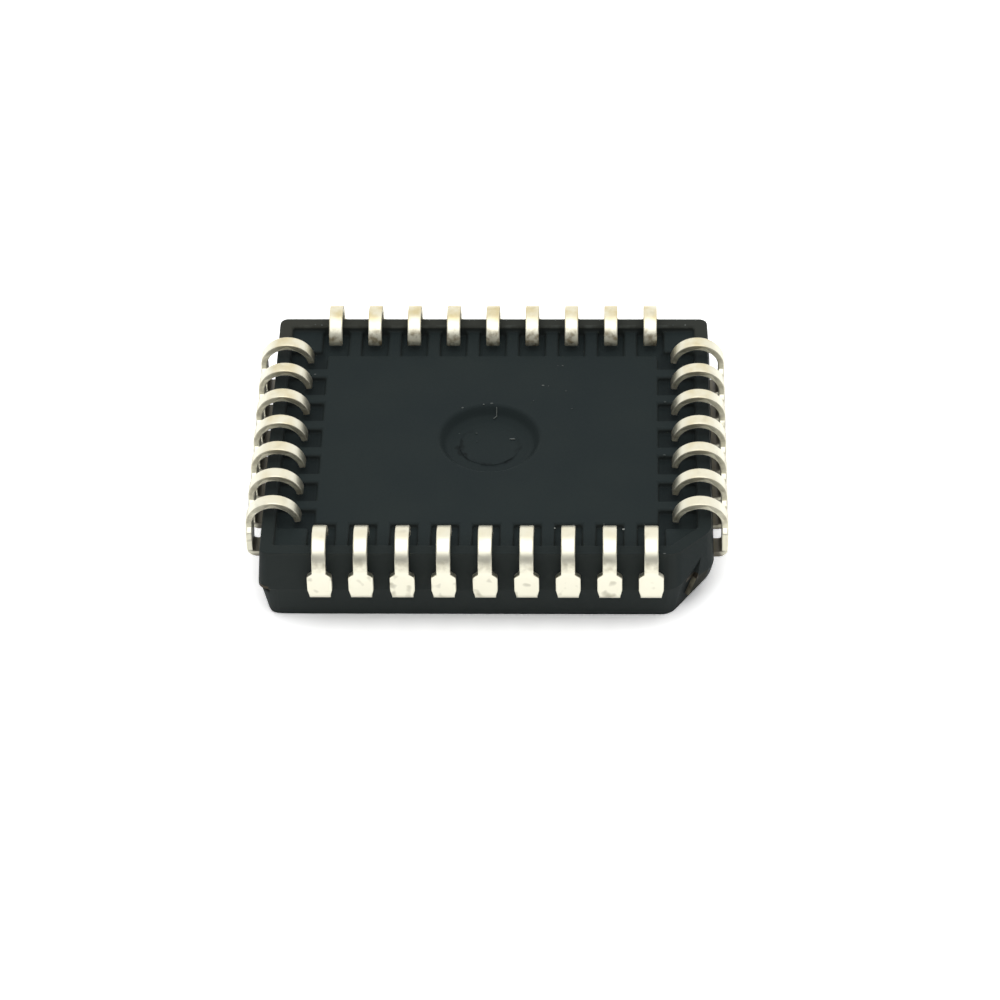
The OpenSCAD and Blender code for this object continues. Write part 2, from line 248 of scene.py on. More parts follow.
spot = add(tree, "ShaderNodeSeparateXYZ", {0: place})
plan = add(tree, "ShaderNodeCombineXYZ", {"X": spot.outputs["X"], "Y": spot.outputs["Y"]})
from_middle = add(tree, "ShaderNodeVectorMath", {0: plan.outputs[0]}, operation="LENGTH")
facing = add(tree, "ShaderNodeSeparateXYZ", {0: add(tree, "ShaderNodeNewGeometry").outputs["Normal"]})
level = add(tree, "ShaderNodeMath", {0: facing.outputs["Z"]}, operation="ABSOLUTE")
upright = add(
    tree, "ShaderNodeMapRange",
    {"Value": level.outputs[0], "From Min": WALL_STEEP, "From Max": WALL_LEVEL,
     "To Min": 1.0, "To Max": 0.0})
past_dimple = add(
    tree, "ShaderNodeMapRange",
    {"Value": from_middle.outputs["Value"], "From Min": DIMPLE_EDGE,
     "From Max": DIMPLE_EDGE + DIMPLE_FADE})
slanting = add(
    tree, "ShaderNodeMath", {0: facing.outputs["X"], 1: facing.outputs["Y"]}, operation="MULTIPLY")
off_index = add(
    tree, "ShaderNodeMapRange",
    {"Value": slanting.outputs[0], "From Min": INDEX_SLANT, "From Max": PLAIN_SLANT,
     "To Min": INDEX_SHARE})
painted_wall_light = upright.outputs["Result"]
for share in (past_dimple, off_index):
    painted_wall_light = add(
        tree, "ShaderNodeMath", {0: painted_wall_light, 1: share.outputs["Result"]},
        operation="MULTIPLY").outputs[0]
walls = add(
    tree, "ShaderNodeMix",
    {"Factor": painted_wall_light, "A": resin.outputs["Result"], "B": linear(WALL_PAINTED_LIGHT)}, data_type="RGBA")
print("walls go from", RESIN, "to", WALL_PAINTED_LIGHT)

# %% [markdown]
# Trays rub the rail, so its far edges are worn paler in patches, and the same paler colour also stands
# in for the bright line along those edges, a painted highlight. The body step below marks the faces of
# these edges, because a graph can't tell an edge by place alone. A noise breaks the wear and the
# painted highlight up into patches.

# %% Epoxy: rubbed edges and their painted highlight
RUB_MM = 0.35
WORN_HIGHLIGHT_FROM = 0.45
WORN_HIGHLIGHT_FULL = 0.65
WORN_EDGE_HIGHLIGHT = "#434a49"

rub = add(tree, "ShaderNodeTexNoise", {"Vector": place, "Scale": per_metre(RUB_MM), "Detail": 2.0})
edge_mark = add(tree, "ShaderNodeAttribute", attribute_name="worn_edge_highlight")
patchy = add(
    tree, "ShaderNodeMapRange",
    {"Value": rub.outputs["Fac"], "From Min": WORN_HIGHLIGHT_FROM, "From Max": WORN_HIGHLIGHT_FULL})
worn_highlit_edges = add(
    tree, "ShaderNodeMath", {0: edge_mark.outputs["Fac"], 1: patchy.outputs["Result"]},
    operation="MULTIPLY")
print("worn patches of", RUB_MM, "mm")

# %% [markdown]
# Handling has rubbed the top of the rail, most of all along the far side and toward the left. It is
# painted a paler warm grey there, a painted sheen for the rubbed top's brighter reflection. Height
# finds the rail, and two slow ramps along the chip's length and width give the share.

# %% Epoxy: painted sheen on the handled rail
RAIL_FOOT = 2.55 * MM
RAIL_LEVEL = 2.63 * MM
RAIL_SHEEN_FROM = 3.7 * MM
RAIL_SHEEN_FULL = 4.8 * MM
RAIL_SHEEN_NEAR = 0.15
LEFT_END = -7 * MM
RIGHT_END = 4 * MM
LEFT_SHARE = 0.65
RIGHT_SHARE = 0.45
RUBBED_RAIL_SHEEN = "#3f3e36"

rail = add(
    tree, "ShaderNodeMapRange",
    {"Value": spot.outputs["Z"], "From Min": RAIL_FOOT, "From Max": RAIL_LEVEL})
far = add(
    tree, "ShaderNodeMapRange",
    {"Value": spot.outputs["Y"], "From Min": RAIL_SHEEN_FROM, "From Max": RAIL_SHEEN_FULL,
     "To Min": RAIL_SHEEN_NEAR})
left = add(
    tree, "ShaderNodeMapRange",
    {"Value": spot.outputs["X"], "From Min": LEFT_END, "From Max": RIGHT_END,
     "To Min": LEFT_SHARE, "To Max": RIGHT_SHARE})
sheen_painted = far.outputs["Result"]
for share in (left, rail):
    sheen_painted = add(
        tree, "ShaderNodeMath", {0: sheen_painted, 1: share.outputs["Result"]},
        operation="MULTIPLY").outputs[0]
print("the rail's top is handled up to", LEFT_SHARE, "of", RUBBED_RAIL_SHEEN)

# %% [markdown]
# The ejector pin, which pushed the chip out of the mould, left a thin ragged ring in the dimple. A band
# about a circle whose radius wanders with the noise is painted dark on the near side only, as painted
# shade along the step of the ring. A noise of larger patches breaks it up.

# %% Epoxy: painted shade at the ring of the ejector pin
RING_RADIUS = 0.95 * MM
RING_WIDTH = 0.11 * MM
RING_WANDER = 0.3 * MM
RING_FADES_FROM = 0.3 * MM
RING_FADES_TO = 0.8 * MM
RING_DARK = 0.65
RING_PATCH_MM = 0.6
RING_PATCH_FROM = 0.42
RING_PATCH_FULL = 0.58
RING_PATCH_LEAST = 0.15
PIN_STEP_SHADE = "#0c1010"

wander = add(
    tree, "ShaderNodeMapRange",
    {"Value": rub.outputs["Fac"], "To Min": RING_RADIUS - RING_WANDER,
     "To Max": RING_RADIUS + RING_WANDER})
off_ring = add(
    tree, "ShaderNodeMath", {0: from_middle.outputs["Value"], 1: wander.outputs["Result"]},
    operation="SUBTRACT")
off_ring = add(tree, "ShaderNodeMath", {0: off_ring.outputs[0]}, operation="ABSOLUTE")
ring = add(
    tree, "ShaderNodeMapRange",
    {"Value": off_ring.outputs[0], "From Max": RING_WIDTH, "To Min": 1.0, "To Max": 0.0})
near_side = add(
    tree, "ShaderNodeMapRange",
    {"Value": spot.outputs["Y"], "From Min": RING_FADES_FROM, "From Max": RING_FADES_TO,
     "To Min": RING_DARK, "To Max": 0.0})
ring_patches = add(tree, "ShaderNodeTexNoise", {"Vector": place, "Scale": per_metre(RING_PATCH_MM), "Detail": 1.0})
in_patches = add(
    tree, "ShaderNodeMapRange",
    {"Value": ring_patches.outputs["Fac"], "From Min": RING_PATCH_FROM, "From Max": RING_PATCH_FULL,
     "To Min": RING_PATCH_LEAST})
ragged = ring.outputs["Result"]
for share in (near_side, in_patches):
    ragged = add(
        tree, "ShaderNodeMath", {0: ragged, 1: share.outputs["Result"]},
        operation="MULTIPLY").outputs[0]
print("ring of", 2 * RING_RADIUS / MM, "mm across")

# %% [markdown]
# Painted shade darkens the floors of the pockets in the short sides, under the leads that hang over
# them. It is found by height, and by how far a point lies along and across the chip, so that it keeps
# inside the rail.

# %% Epoxy: painted shade in the pockets
POCKET_FLOOR = 2.3 * MM
POCKET_SHADE_FROM = 5.3 * MM
POCKET_SHADE_TO = 6.05 * MM
POCKET_SHADE_FADE = 0.15 * MM
ROW_END = 4.3 * MM
POCKET_SHADE_MOST = 0.55
POCKET_SHADE = "#141a1b"

sunk = add(
    tree, "ShaderNodeMapRange",
    {"Value": spot.outputs["Z"], "From Min": POCKET_FLOOR, "From Max": POCKET_FLOOR + POCKET_SHADE_FADE,
     "To Min": POCKET_SHADE_MOST, "To Max": 0.0})
off_x = add(tree, "ShaderNodeMath", {0: spot.outputs["X"]}, operation="ABSOLUTE")
past_end = add(
    tree, "ShaderNodeMapRange",
    {"Value": off_x.outputs[0], "From Min": POCKET_SHADE_FROM, "From Max": POCKET_SHADE_FROM + POCKET_SHADE_FADE})
off_y = add(tree, "ShaderNodeMath", {0: spot.outputs["Y"]}, operation="ABSOLUTE")
in_row = add(
    tree, "ShaderNodeMapRange",
    {"Value": off_y.outputs[0], "From Min": ROW_END, "From Max": ROW_END + POCKET_SHADE_FADE,
     "To Min": 1.0, "To Max": 0.0})
before_rail = add(
    tree, "ShaderNodeMapRange",
    {"Value": off_x.outputs[0], "From Min": POCKET_SHADE_TO - POCKET_SHADE_FADE, "From Max": POCKET_SHADE_TO,
     "To Min": 1.0, "To Max": 0.0})
shaded_pockets = sunk.outputs["Result"]
for share in (past_end, in_row, before_rail):
    shaded_pockets = add(
        tree, "ShaderNodeMath", {0: shaded_pockets, 1: share.outputs["Result"]}, operation="MULTIPLY").outputs[0]
print("dirt from", POCKET_SHADE_FROM / MM, "to", POCKET_SHADE_TO / MM, "mm off the middle")

# %% [markdown]
# Resin flowed into the mould through a gate at the index corner. It was snapped off there, which left a
# broken face, a brownish stub and a chalky ridge between them; the broken face is painted dark as
# painted shade. The body step marks their faces. All the marks and the painted light and shade are
# then laid over the colour of the walls, one mix for each. The gate comes last, so that nothing else
# lies over it.

# %% Epoxy: broken gate, and all the marks and painted light laid over the resin
CHALK_FROM = 0.3
CHALK_FULL = 0.7
GATE_BREAK_SHADE = "#1d2323"
GATE_STUB = "#403d34"
RIDGE_DARK = "#45433a"
RIDGE_PALE = "#75715f"

broken = add(tree, "ShaderNodeAttribute", attribute_name="gate_break")
stub = add(tree, "ShaderNodeAttribute", attribute_name="gate_stub")
browned = add(
    tree, "ShaderNodeMath", {0: stub.outputs["Fac"], 1: cloud.outputs["Fac"]}, operation="MULTIPLY")
ridge = add(tree, "ShaderNodeAttribute", attribute_name="gate_ridge")
chalky = add(
    tree, "ShaderNodeMapRange",
    {"Value": rub.outputs["Fac"], "From Min": CHALK_FROM, "From Max": CHALK_FULL})
chalked = add(
    tree, "ShaderNodeMix",
    {"Factor": chalky.outputs["Result"], "A": linear(RIDGE_DARK), "B": linear(RIDGE_PALE)},
    data_type="RGBA")
marks = [
    (worn_highlit_edges.outputs[0], linear(WORN_EDGE_HIGHLIGHT)), (ragged, linear(PIN_STEP_SHADE)), (sheen_painted, linear(RUBBED_RAIL_SHEEN)),
    (shaded_pockets, linear(POCKET_SHADE)), (broken.outputs["Fac"], linear(GATE_BREAK_SHADE)),
    (browned.outputs[0], linear(GATE_STUB)), (ridge.outputs["Fac"], chalked.outputs["Result"]),
]
marked = walls
for share, colour in marks:
    marked = add(
        tree, "ShaderNodeMix", {"Factor": share, "A": marked.outputs["Result"], "B": colour},
        data_type="RGBA")
print("marks on the resin:", len(marks))

# %% [markdown]
# The grain makes the skin matte, more in some places than in others, and a little uneven. Filled epoxy
# bends light about as glass does, but its skin is so broken up that hardly any mirror sheen is left.

# %% Epoxy: surface
GRAIN_MM = 0.07
EPOXY_SMOOTHEST = 0.5
EPOXY_ROUGHEST = 0.68
GRAIN_STRENGTH = 0.25
GRAIN_DEPTH = 0.01 * MM

grain = add(tree, "ShaderNodeTexNoise", {"Vector": place, "Scale": per_metre(GRAIN_MM), "Detail": 2.0})
matte = add(
    tree, "ShaderNodeMapRange",
    {"Value": grain.outputs["Fac"], "To Min": EPOXY_SMOOTHEST, "To Max": EPOXY_ROUGHEST})
relief = add(
    tree, "ShaderNodeBump",
    {"Height": grain.outputs["Fac"], "Strength": GRAIN_STRENGTH, "Distance": GRAIN_DEPTH})
shader.inputs["IOR"].default_value = 1.5
shader.inputs["Specular IOR Level"].default_value = 0.06
tree.links.new(marked.outputs["Result"], shader.inputs["Base Color"])
tree.links.new(matte.outputs["Result"], shader.inputs["Roughness"])
tree.links.new(relief.outputs["Normal"], shader.inputs["Normal"])
print("nodes of the epoxy:", len(tree.nodes))

# %% [markdown]
# The leads are plated with matte tin, which is a soft satin metal with a warm white colour. Handling and
# test sockets leave a yellowish stain in blotches on the crests, and more of it on the far rows. The
# crests are found by height, so one graph serves all 32 leads.

# %% Tin: stained crests
STAIN_MM = 0.45
CREST_LOW = 3.08 * MM
CREST_HIGH = 3.2 * MM
CREST_LEAST = 0.05
BLOTCH_FROM = 0.35
BLOTCH_FULL = 0.65
BLOTCH_LEAST = 0.3
NEAR_ROW = -5 * MM
FAR_ROW = 5 * MM
NEAR_SHARE = 0.3
TIN = "#f0edda"
CREST_STAIN = "#d9cba0"

tin_plating, tree, shader = new_material("matte tin plating")
place = add(tree, "ShaderNodeTexCoord").outputs["Object"]
spot = add(tree, "ShaderNodeSeparateXYZ", {0: place})
stain = add(tree, "ShaderNodeTexNoise", {"Vector": place, "Scale": per_metre(STAIN_MM), "Detail": 4.0})
crest = add(
    tree, "ShaderNodeMapRange",
    {"Value": spot.outputs["Z"], "From Min": CREST_LOW, "From Max": CREST_HIGH, "To Min": CREST_LEAST})
blotch = add(
    tree, "ShaderNodeMapRange",
    {"Value": stain.outputs["Fac"], "From Min": BLOTCH_FROM, "From Max": BLOTCH_FULL,
     "To Min": BLOTCH_LEAST})
used = add(
    tree, "ShaderNodeMapRange",
    {"Value": spot.outputs["Y"], "From Min": NEAR_ROW, "From Max": FAR_ROW, "To Min": NEAR_SHARE})
stained = crest.outputs["Result"]
for share in (blotch, used):
    stained = add(
        tree, "ShaderNodeMath", {0: stained, 1: share.outputs["Result"]},
        operation="MULTIPLY").outputs[0]
print("crests are stained above", CREST_LOW / MM, "mm")

# %% [markdown]
# The tool that rolled the hook rubbed a grainy grey band across its foot. The band lies between two
# heights, fades at both, and takes its grain from a fine noise.

# %% Tin: tooled band
SPECK_MM = 0.2
RUB_LOW = 2.34 * MM
RUB_HIGH = 2.85 * MM
RUB_FADE = 0.17 * MM
TOOLED_FROM = 0.32
TOOLED_FULL = 0.66
TOOLED_LEAST = 0.1
TOOLED_MOST = 0.6
TOOLED_TIN = "#a8a28c"

speck = add(tree, "ShaderNodeTexNoise", {"Vector": place, "Scale": per_metre(SPECK_MM), "Detail": 2.0})
above = add(
    tree, "ShaderNodeMapRange",
    {"Value": spot.outputs["Z"], "From Min": RUB_LOW, "From Max": RUB_LOW + RUB_FADE})
below = add(
    tree, "ShaderNodeMapRange",
    {"Value": spot.outputs["Z"], "From Min": RUB_HIGH - RUB_FADE, "From Max": RUB_HIGH,
     "To Min": 1.0, "To Max": 0.0})
grained = add(
    tree, "ShaderNodeMapRange",
    {"Value": speck.outputs["Fac"], "From Min": TOOLED_FROM, "From Max": TOOLED_FULL,
     "To Min": TOOLED_LEAST, "To Max": TOOLED_MOST})
tooled = above.outputs["Result"]
for share in (below, grained):
    tooled = add(
        tree, "ShaderNodeMath", {0: tooled, 1: share.outputs["Result"]},
        operation="MULTIPLY").outputs[0]
print("tooled band from", RUB_LOW / MM, "to", RUB_HIGH / MM, "mm")

# %% [markdown]
# A brown film of old flux lies where each tip turns down, mostly in the far row, and grey smears lie on
# the wide shoulders and a little on the stems. The lead step below marks how far a point is toward the
# tip, as tip_side, because the tips of the four sides point four ways.

# %% Tin: flux and smears
TIP_FROM = 0.62
TIP_FULL = 0.8
FLUX_FROM = 0.45
FLUX_FULL = 0.65
FLUX_MOST = 0.7
FLUX_ROW_FROM = 4 * MM
FLUX_ROW_FULL = 4.5 * MM
FLUX_NEAR_SHARE = 0.3
SMUDGE_MM = 0.3
SMUDGE_FROM = 0.62
SMUDGE_FULL = 0.8
SMUDGE_MOST = 0.65
STEM_SHARE = 0.3
FLUX = "#8a7a58"
SMUDGE = "#98937f"

tip = add(tree, "ShaderNodeAttribute", attribute_name="tip_side")
near_tip = add(
    tree, "ShaderNodeMapRange", {"Value": tip.outputs["Fac"], "From Min": TIP_FROM, "From Max": TIP_FULL})
film = add(
    tree, "ShaderNodeMapRange",
    {"Value": speck.outputs["Fac"], "From Min": FLUX_FROM, "From Max": FLUX_FULL, "To Max": FLUX_MOST})
far_row = add(
    tree, "ShaderNodeMapRange",
    {"Value": spot.outputs["Y"], "From Min": FLUX_ROW_FROM, "From Max": FLUX_ROW_FULL,
     "To Min": FLUX_NEAR_SHARE})
fluxed = near_tip.outputs["Result"]
for share in (film, far_row):
    fluxed = add(
        tree, "ShaderNodeMath", {0: fluxed, 1: share.outputs["Result"]},
        operation="MULTIPLY").outputs[0]
smudge = add(tree, "ShaderNodeTexNoise", {"Vector": place, "Scale": per_metre(SMUDGE_MM), "Detail": 0.5})
grey = add(
    tree, "ShaderNodeMapRange",
    {"Value": smudge.outputs["Fac"], "From Min": SMUDGE_FROM, "From Max": SMUDGE_FULL,
     "To Max": SMUDGE_MOST})
on_shoulder = add(
    tree, "ShaderNodeMapRange",
    {"Value": spot.outputs["Z"], "From Min": RUB_LOW - RUB_FADE, "From Max": RUB_LOW,
     "To Min": 1.0, "To Max": STEM_SHARE})
smeared = add(
    tree, "ShaderNodeMath", {0: grey.outputs["Result"], 1: on_shoulder.outputs["Result"]},
    operation="MULTIPLY")
print("smears of", SMUDGE_MM, "mm, up to", SMUDGE_MOST, "of", SMUDGE)

# %% [markdown]
# The strip was punched. On each sheared side the punch cut cleanly through the inner part of the metal,
# and the outer part broke, so it is rough and looks olive where the hook is high. Close to the body a
# film of resin bled on to the metal and dulled it. The lead step marks the sheared sides, the depth
# in the strip and the resin bleed. All the marks are then laid over the bare tin.

# %% Tin: sheared sides and resin bleed, and all the marks laid over the tin
BREAK_RAGGED = 0.6
BREAK_FROM = 0.85
BREAK_FULL = 1.15
BREAK_MOST = 0.55
TORN_LOW = 2.5 * MM
TORN_HIGH = 2.95 * MM
TORN_LEAST = 0.1
TORN_TIN = "#8a8572"
RESIN_BLEED = "#6f6b60"

sheared = add(tree, "ShaderNodeAttribute", attribute_name="sheared_side")
depth = add(tree, "ShaderNodeAttribute", attribute_name="strip_depth")
ragged = add(
    tree, "ShaderNodeMath", {0: stain.outputs["Fac"], 1: BREAK_RAGGED, 2: depth.outputs["Fac"]},
    operation="MULTIPLY_ADD")
broke = add(
    tree, "ShaderNodeMapRange",
    {"Value": ragged.outputs[0], "From Min": BREAK_FROM, "From Max": BREAK_FULL, "To Max": BREAK_MOST})
high_up = add(
    tree, "ShaderNodeMapRange",
    {"Value": spot.outputs["Z"], "From Min": TORN_LOW, "From Max": TORN_HIGH, "To Min": TORN_LEAST})
torn = sheared.outputs["Fac"]
for share in (broke, high_up):
    torn = add(
        tree, "ShaderNodeMath", {0: torn, 1: share.outputs["Result"]}, operation="MULTIPLY").outputs[0]
bleed = add(tree, "ShaderNodeAttribute", attribute_name="resin_bleed")
marks = [
    (stained, CREST_STAIN), (tooled, TOOLED_TIN), (fluxed, FLUX), (smeared.outputs[0], SMUDGE),
    (torn, TORN_TIN), (bleed.outputs["Fac"], RESIN_BLEED),
]
colour = linear(TIN)
for share, mark in marks:
    colour = add(
        tree, "ShaderNodeMix", {"Factor": share, "A": colour, "B": linear(mark)},
        data_type="RGBA").outputs["Result"]
print("marks on the tin:", len(marks))

# %% [markdown]
# Matte tin is satin, and rougher where it was sheared. On the stems, the face toward the body carries a
# dull skin of resin instead of bare metal, so the metallic value goes to nothing there.

# %% Tin: surface
TIN_SMOOTHEST = 0.26
TIN_ROUGHEST = 0.44
SHEAR_ROUGHNESS = 0.25
SPECK_STRENGTH = 0.15
SPECK_DEPTH = 0.01 * MM
INNER_DEPTH = 0.1
STEM_END = 0.05

satin = add(
    tree, "ShaderNodeMapRange",
    {"Value": stain.outputs["Fac"], "To Min": TIN_SMOOTHEST, "To Max": TIN_ROUGHEST})
satin = add(
    tree, "ShaderNodeMath", {0: sheared.outputs["Fac"], 1: SHEAR_ROUGHNESS, 2: satin.outputs["Result"]},
    operation="MULTIPLY_ADD")
relief = add(
    tree, "ShaderNodeBump",
    {"Height": speck.outputs["Fac"], "Strength": SPECK_STRENGTH, "Distance": SPECK_DEPTH})
inner = add(
    tree, "ShaderNodeMapRange",
    {"Value": depth.outputs["Fac"], "From Max": INNER_DEPTH, "To Min": 1.0, "To Max": 0.0})
on_stem = add(
    tree, "ShaderNodeMapRange",
    {"Value": tip.outputs["Fac"], "From Max": STEM_END, "To Min": 1.0, "To Max": 0.0})
filmed = add(
    tree, "ShaderNodeMath", {0: inner.outputs["Result"], 1: on_stem.outputs["Result"]},
    operation="MULTIPLY")
bare = add(tree, "ShaderNodeMapRange", {"Value": filmed.outputs[0], "To Min": 1.0, "To Max": 0.0})
tree.links.new(bare.outputs["Result"], shader.inputs["Metallic"])
tree.links.new(colour, shader.inputs["Base Color"])
tree.links.new(satin.outputs[0], shader.inputs["Roughness"])
tree.links.new(relief.outputs["Normal"], shader.inputs["Normal"])
print("nodes of the tin:", len(tree.nodes))

# %% [markdown]
# Four pieces lie inside the moulding. The paddle and its tie bars are stamped from copper strip, which
# is a bright red-brown metal in patches of thin oxide. Only the cut ends of the tie bars reach the
# outside, at the corners, where the copper has gone dull brown.

# %% Copper strip
OXIDE_MM = 0.3
CUT_FROM = 7.2 * MM
CUT_FULL = 7.6 * MM
COPPER = "#c58b62"
COPPER_OXIDE = "#a8704a"
CUT_COPPER = "#4a453c"


def dress(node, material):
    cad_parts[node].data.materials.clear()
    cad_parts[node].data.materials.append(material)


copper_strip, tree, shader = new_material("copper alloy strip")
place = add(tree, "ShaderNodeTexCoord").outputs["Object"]
oxide = add(tree, "ShaderNodeTexNoise", {"Vector": place, "Scale": per_metre(OXIDE_MM), "Detail": 3.0})
from_middle = add(tree, "ShaderNodeVectorMath", {0: place}, operation="LENGTH")
cut_end = add(
    tree, "ShaderNodeMapRange",
    {"Value": from_middle.outputs["Value"], "From Min": CUT_FROM, "From Max": CUT_FULL})
bright = add(
    tree, "ShaderNodeMix",
    {"Factor": oxide.outputs["Fac"], "A": linear(COPPER), "B": linear(COPPER_OXIDE)},
    data_type="RGBA")
dulled = add(
    tree, "ShaderNodeMix",
    {"Factor": cut_end.outputs["Result"], "A": bright.outputs["Result"], "B": linear(CUT_COPPER)},
    data_type="RGBA")
shader.inputs["Metallic"].default_value = 1.0
shader.inputs["Roughness"].default_value = 0.55
tree.links.new(dulled.outputs["Result"], shader.inputs["Base Color"])
dress("die_paddle", copper_strip)
print("copper is dull beyond", CUT_FROM / MM, "mm from the middle")

# %% [markdown]
# The other three are never seen, but each keeps its own simple finish for anyone who cuts the chip open:
# grey glue full of silver flakes, the dark polished silicon of the die, and smooth gold wire. They
# differ in two colours, the size of the mottle between them in mm, metallic and roughness only, so a
# table and one loop make them.

# %% Glue, silicon and gold
INNER_FINISHES = {
    "die_attach": ("silver-filled glue", "#b9bcc0", "#8d9094", 0.12, 0.6, 0.5),
    "die": ("polished silicon", "#565c66", "#6a6f7c", 0.8, 0.6, 0.15),
    "bond_wires": ("drawn gold wire", "#e6bd58", "#cf9f3d", 0.05, 1.0, 0.25),
}
for node, (name, first, second, size_mm, metallic, roughness) in INNER_FINISHES.items():
    material, tree, shader = new_material(name)
    place = add(tree, "ShaderNodeTexCoord").outputs["Object"]
    mottle = add(tree, "ShaderNodeTexNoise", {"Vector": place, "Scale": per_metre(size_mm)})
    tone = add(
        tree, "ShaderNodeMix",
        {"Factor": mottle.outputs["Fac"], "A": linear(first), "B": linear(second)},
        data_type="RGBA")
    shader.inputs["Metallic"].default_value = metallic
    shader.inputs["Roughness"].default_value = roughness
    tree.links.new(tone.outputs["Result"], shader.inputs["Base Color"])
    dress(node, material)
    print(node, "is", name)

# %% [markdown]
# No edge on the real chip is knife sharp: resin shrinks from the mould's corners, and plating rounds off
# stamped strip. A copy of each solid gets its sharp edges rounded by the bevel tool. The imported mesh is
# made of triangles, so its split corners are first welded and its flat triangles merged.

# %% Tools for rounded copies
SHARP = math.radians(25)
FLAT = math.radians(0.4)
WELD = 0.0001 * MM


def clean_mesh(node):
    shape = bmesh.new()
    shape.from_mesh(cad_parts[node].data)
    bmesh.ops.remove_doubles(shape, verts=shape.verts, dist=WELD)
    bmesh.ops.dissolve_limit(shape, angle_limit=FLAT, verts=shape.verts, edges=shape.edges)
    return shape


def round_edges(shape, edges, radius, segments):
    made = bmesh.ops.bevel(
        shape, geom=edges, offset=radius, offset_type="OFFSET", segments=segments, profile=0.5,
        affect="EDGES", clamp_overlap=False)
    return made["faces"]


def middle(edge):
    return (edge.verts[0].co + edge.verts[1].co) / 2


def new_piece(shape, name, material):
    mesh = bpy.data.meshes.new(name)
    shape.to_mesh(mesh)
    shape.free()
    mesh.shade_smooth()
    mesh.set_sharp_from_angle(angle=SHARP)
    mesh.materials.append(material)
    piece = bpy.data.objects.new(name, mesh)
    bpy.context.scene.collection.objects.link(piece)
    weighted = piece.modifiers.new("flat faces stay flat", "WEIGHTED_NORMAL")
    weighted.keep_sharp = True
    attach(piece, "root")
    return piece


print("an edge is sharp from", round(math.degrees(SHARP)), "degrees")

# %% [markdown]
# The body's relief was pressed by a worn mould, so both its ridges and the corners at the foot of its
# walls are round. The dimple's floor runs up into its wall with a wide round, and so do the upright
# edges of the index corner. The edges are sorted by place into groups, one for each round. Edges inside
# the moulding, about the fingers and wires, and those of the broken gate stay as they are.

# %% Edges of the body, sorted
HALF_BODY = Vector((7.025, 5.755)) * MM
INNER_LOW = 0.8 * MM
INNER_HIGH = 1.6 * MM
PIN_MARK_REACH = 1.0 * MM
DIMPLE_REACH = 1.5 * MM
RIM_REACH = 0.4 * MM
INDEX_NORMAL = Vector((1, -1, 0)).normalized()
INDEX_ALONG = Vector((1, 1, 0)).normalized()
INDEX_REACH = 7.9 * MM
INDEX_MIDDLE = 0.898 * MM
UPRIGHT_RUN = 0.8
GATE_REACH = 7.5 * MM
GATE_HALF = 0.66 * MM
GATE_LOW = 0.2 * MM
GATE_TOP = 2.3 * MM
BODY_ROUNDS = {
    "dimple floor": (0.12 * MM, 4), "pin mark": (0.025 * MM, 2), "index corner": (0.25 * MM, 4),
    "rim": (0.05 * MM, 3), "relief": (0.08 * MM, 4),
}

shape = clean_mesh("moulded_body")
groups = {name: [] for name in BODY_ROUNDS}
for edge in shape.edges:
    if not edge.is_manifold or abs(edge.calc_face_angle_signed()) < SHARP:
        continue
    at = middle(edge)
    run = (edge.verts[1].co - edge.verts[0].co).normalized()
    from_centre = at.xy.length
    past_rim = max(abs(at.x) - HALF_BODY.x, abs(at.y) - HALF_BODY.y) + RIM_REACH
    inward = at.dot(INDEX_NORMAL)
    along = at.dot(INDEX_ALONG) - INDEX_MIDDLE
    if inward > GATE_REACH and abs(along) < GATE_HALF and GATE_LOW < at.z < GATE_TOP:
        continue
    elif inward > INDEX_REACH and abs(run.z) > UPRIGHT_RUN:
        groups["index corner"].append(edge)
    elif INNER_LOW < at.z < INNER_HIGH:
        continue
    elif from_centre < PIN_MARK_REACH:
        groups["pin mark"].append(edge)
    elif from_centre < DIMPLE_REACH:
        groups["dimple floor"].append(edge)
    elif inward > INDEX_REACH or past_rim > 0:
        groups["rim"].append(edge)
    else:
        groups["relief"].append(edge)
print("edges to round:", {name: len(edges) for name, edges in groups.items()})

# %% [markdown]
# Each group is bevelled in turn with its own radius. A bevel can use up an edge at its end, so only the
# edges that are still valid are rounded. The new faces along the far part of the rail's top are marked
# for the epoxy's graph, which paints them paler as wear and as a painted highlight.

# %% Rounded body
RAIL_TOP = 2.6 * MM
WORN_HIGHLIGHT_Y = 3 * MM

worn_and_highlit = shape.faces.layers.float.new("worn_edge_highlight")
for name, (radius, segments) in BODY_ROUNDS.items():
    edges = [e for e in groups[name] if e.is_valid]
    for face in round_edges(shape, edges, radius, segments):
        at = face.calc_center_median()
        face[worn_and_highlit] = 1.0 if at.z > RAIL_TOP and at.y > WORN_HIGHLIGHT_Y else 0.0
    print(name, "edges rounded:", len(edges))

# %% [markdown]
# The ejector pin's mark in the dimple is a thin disc. The worn pin sat a little askew, so the disc stands
# proud on one side and fades into the floor on the other, and its rim is ragged. Its points are lowered
# by how far they lie along the lean, and pushed in and out by a noise that is the same in every run.

# %% Lean of the pin mark
DIMPLE_FLOOR = 2.13 * MM
PIN_MARK_TOP = 2.17 * MM
PIN_LEAN = Vector((0.35, 0.94, 0))
PIN_MIDDLE = 0.4
PIN_SLOPE = 0.5
PIN_PROUDEST = 0.7
PIN_FLATTEST = 0.05
PIN_RAGGED = 0.05 * MM
PIN_WAVE = 0.25 * MM

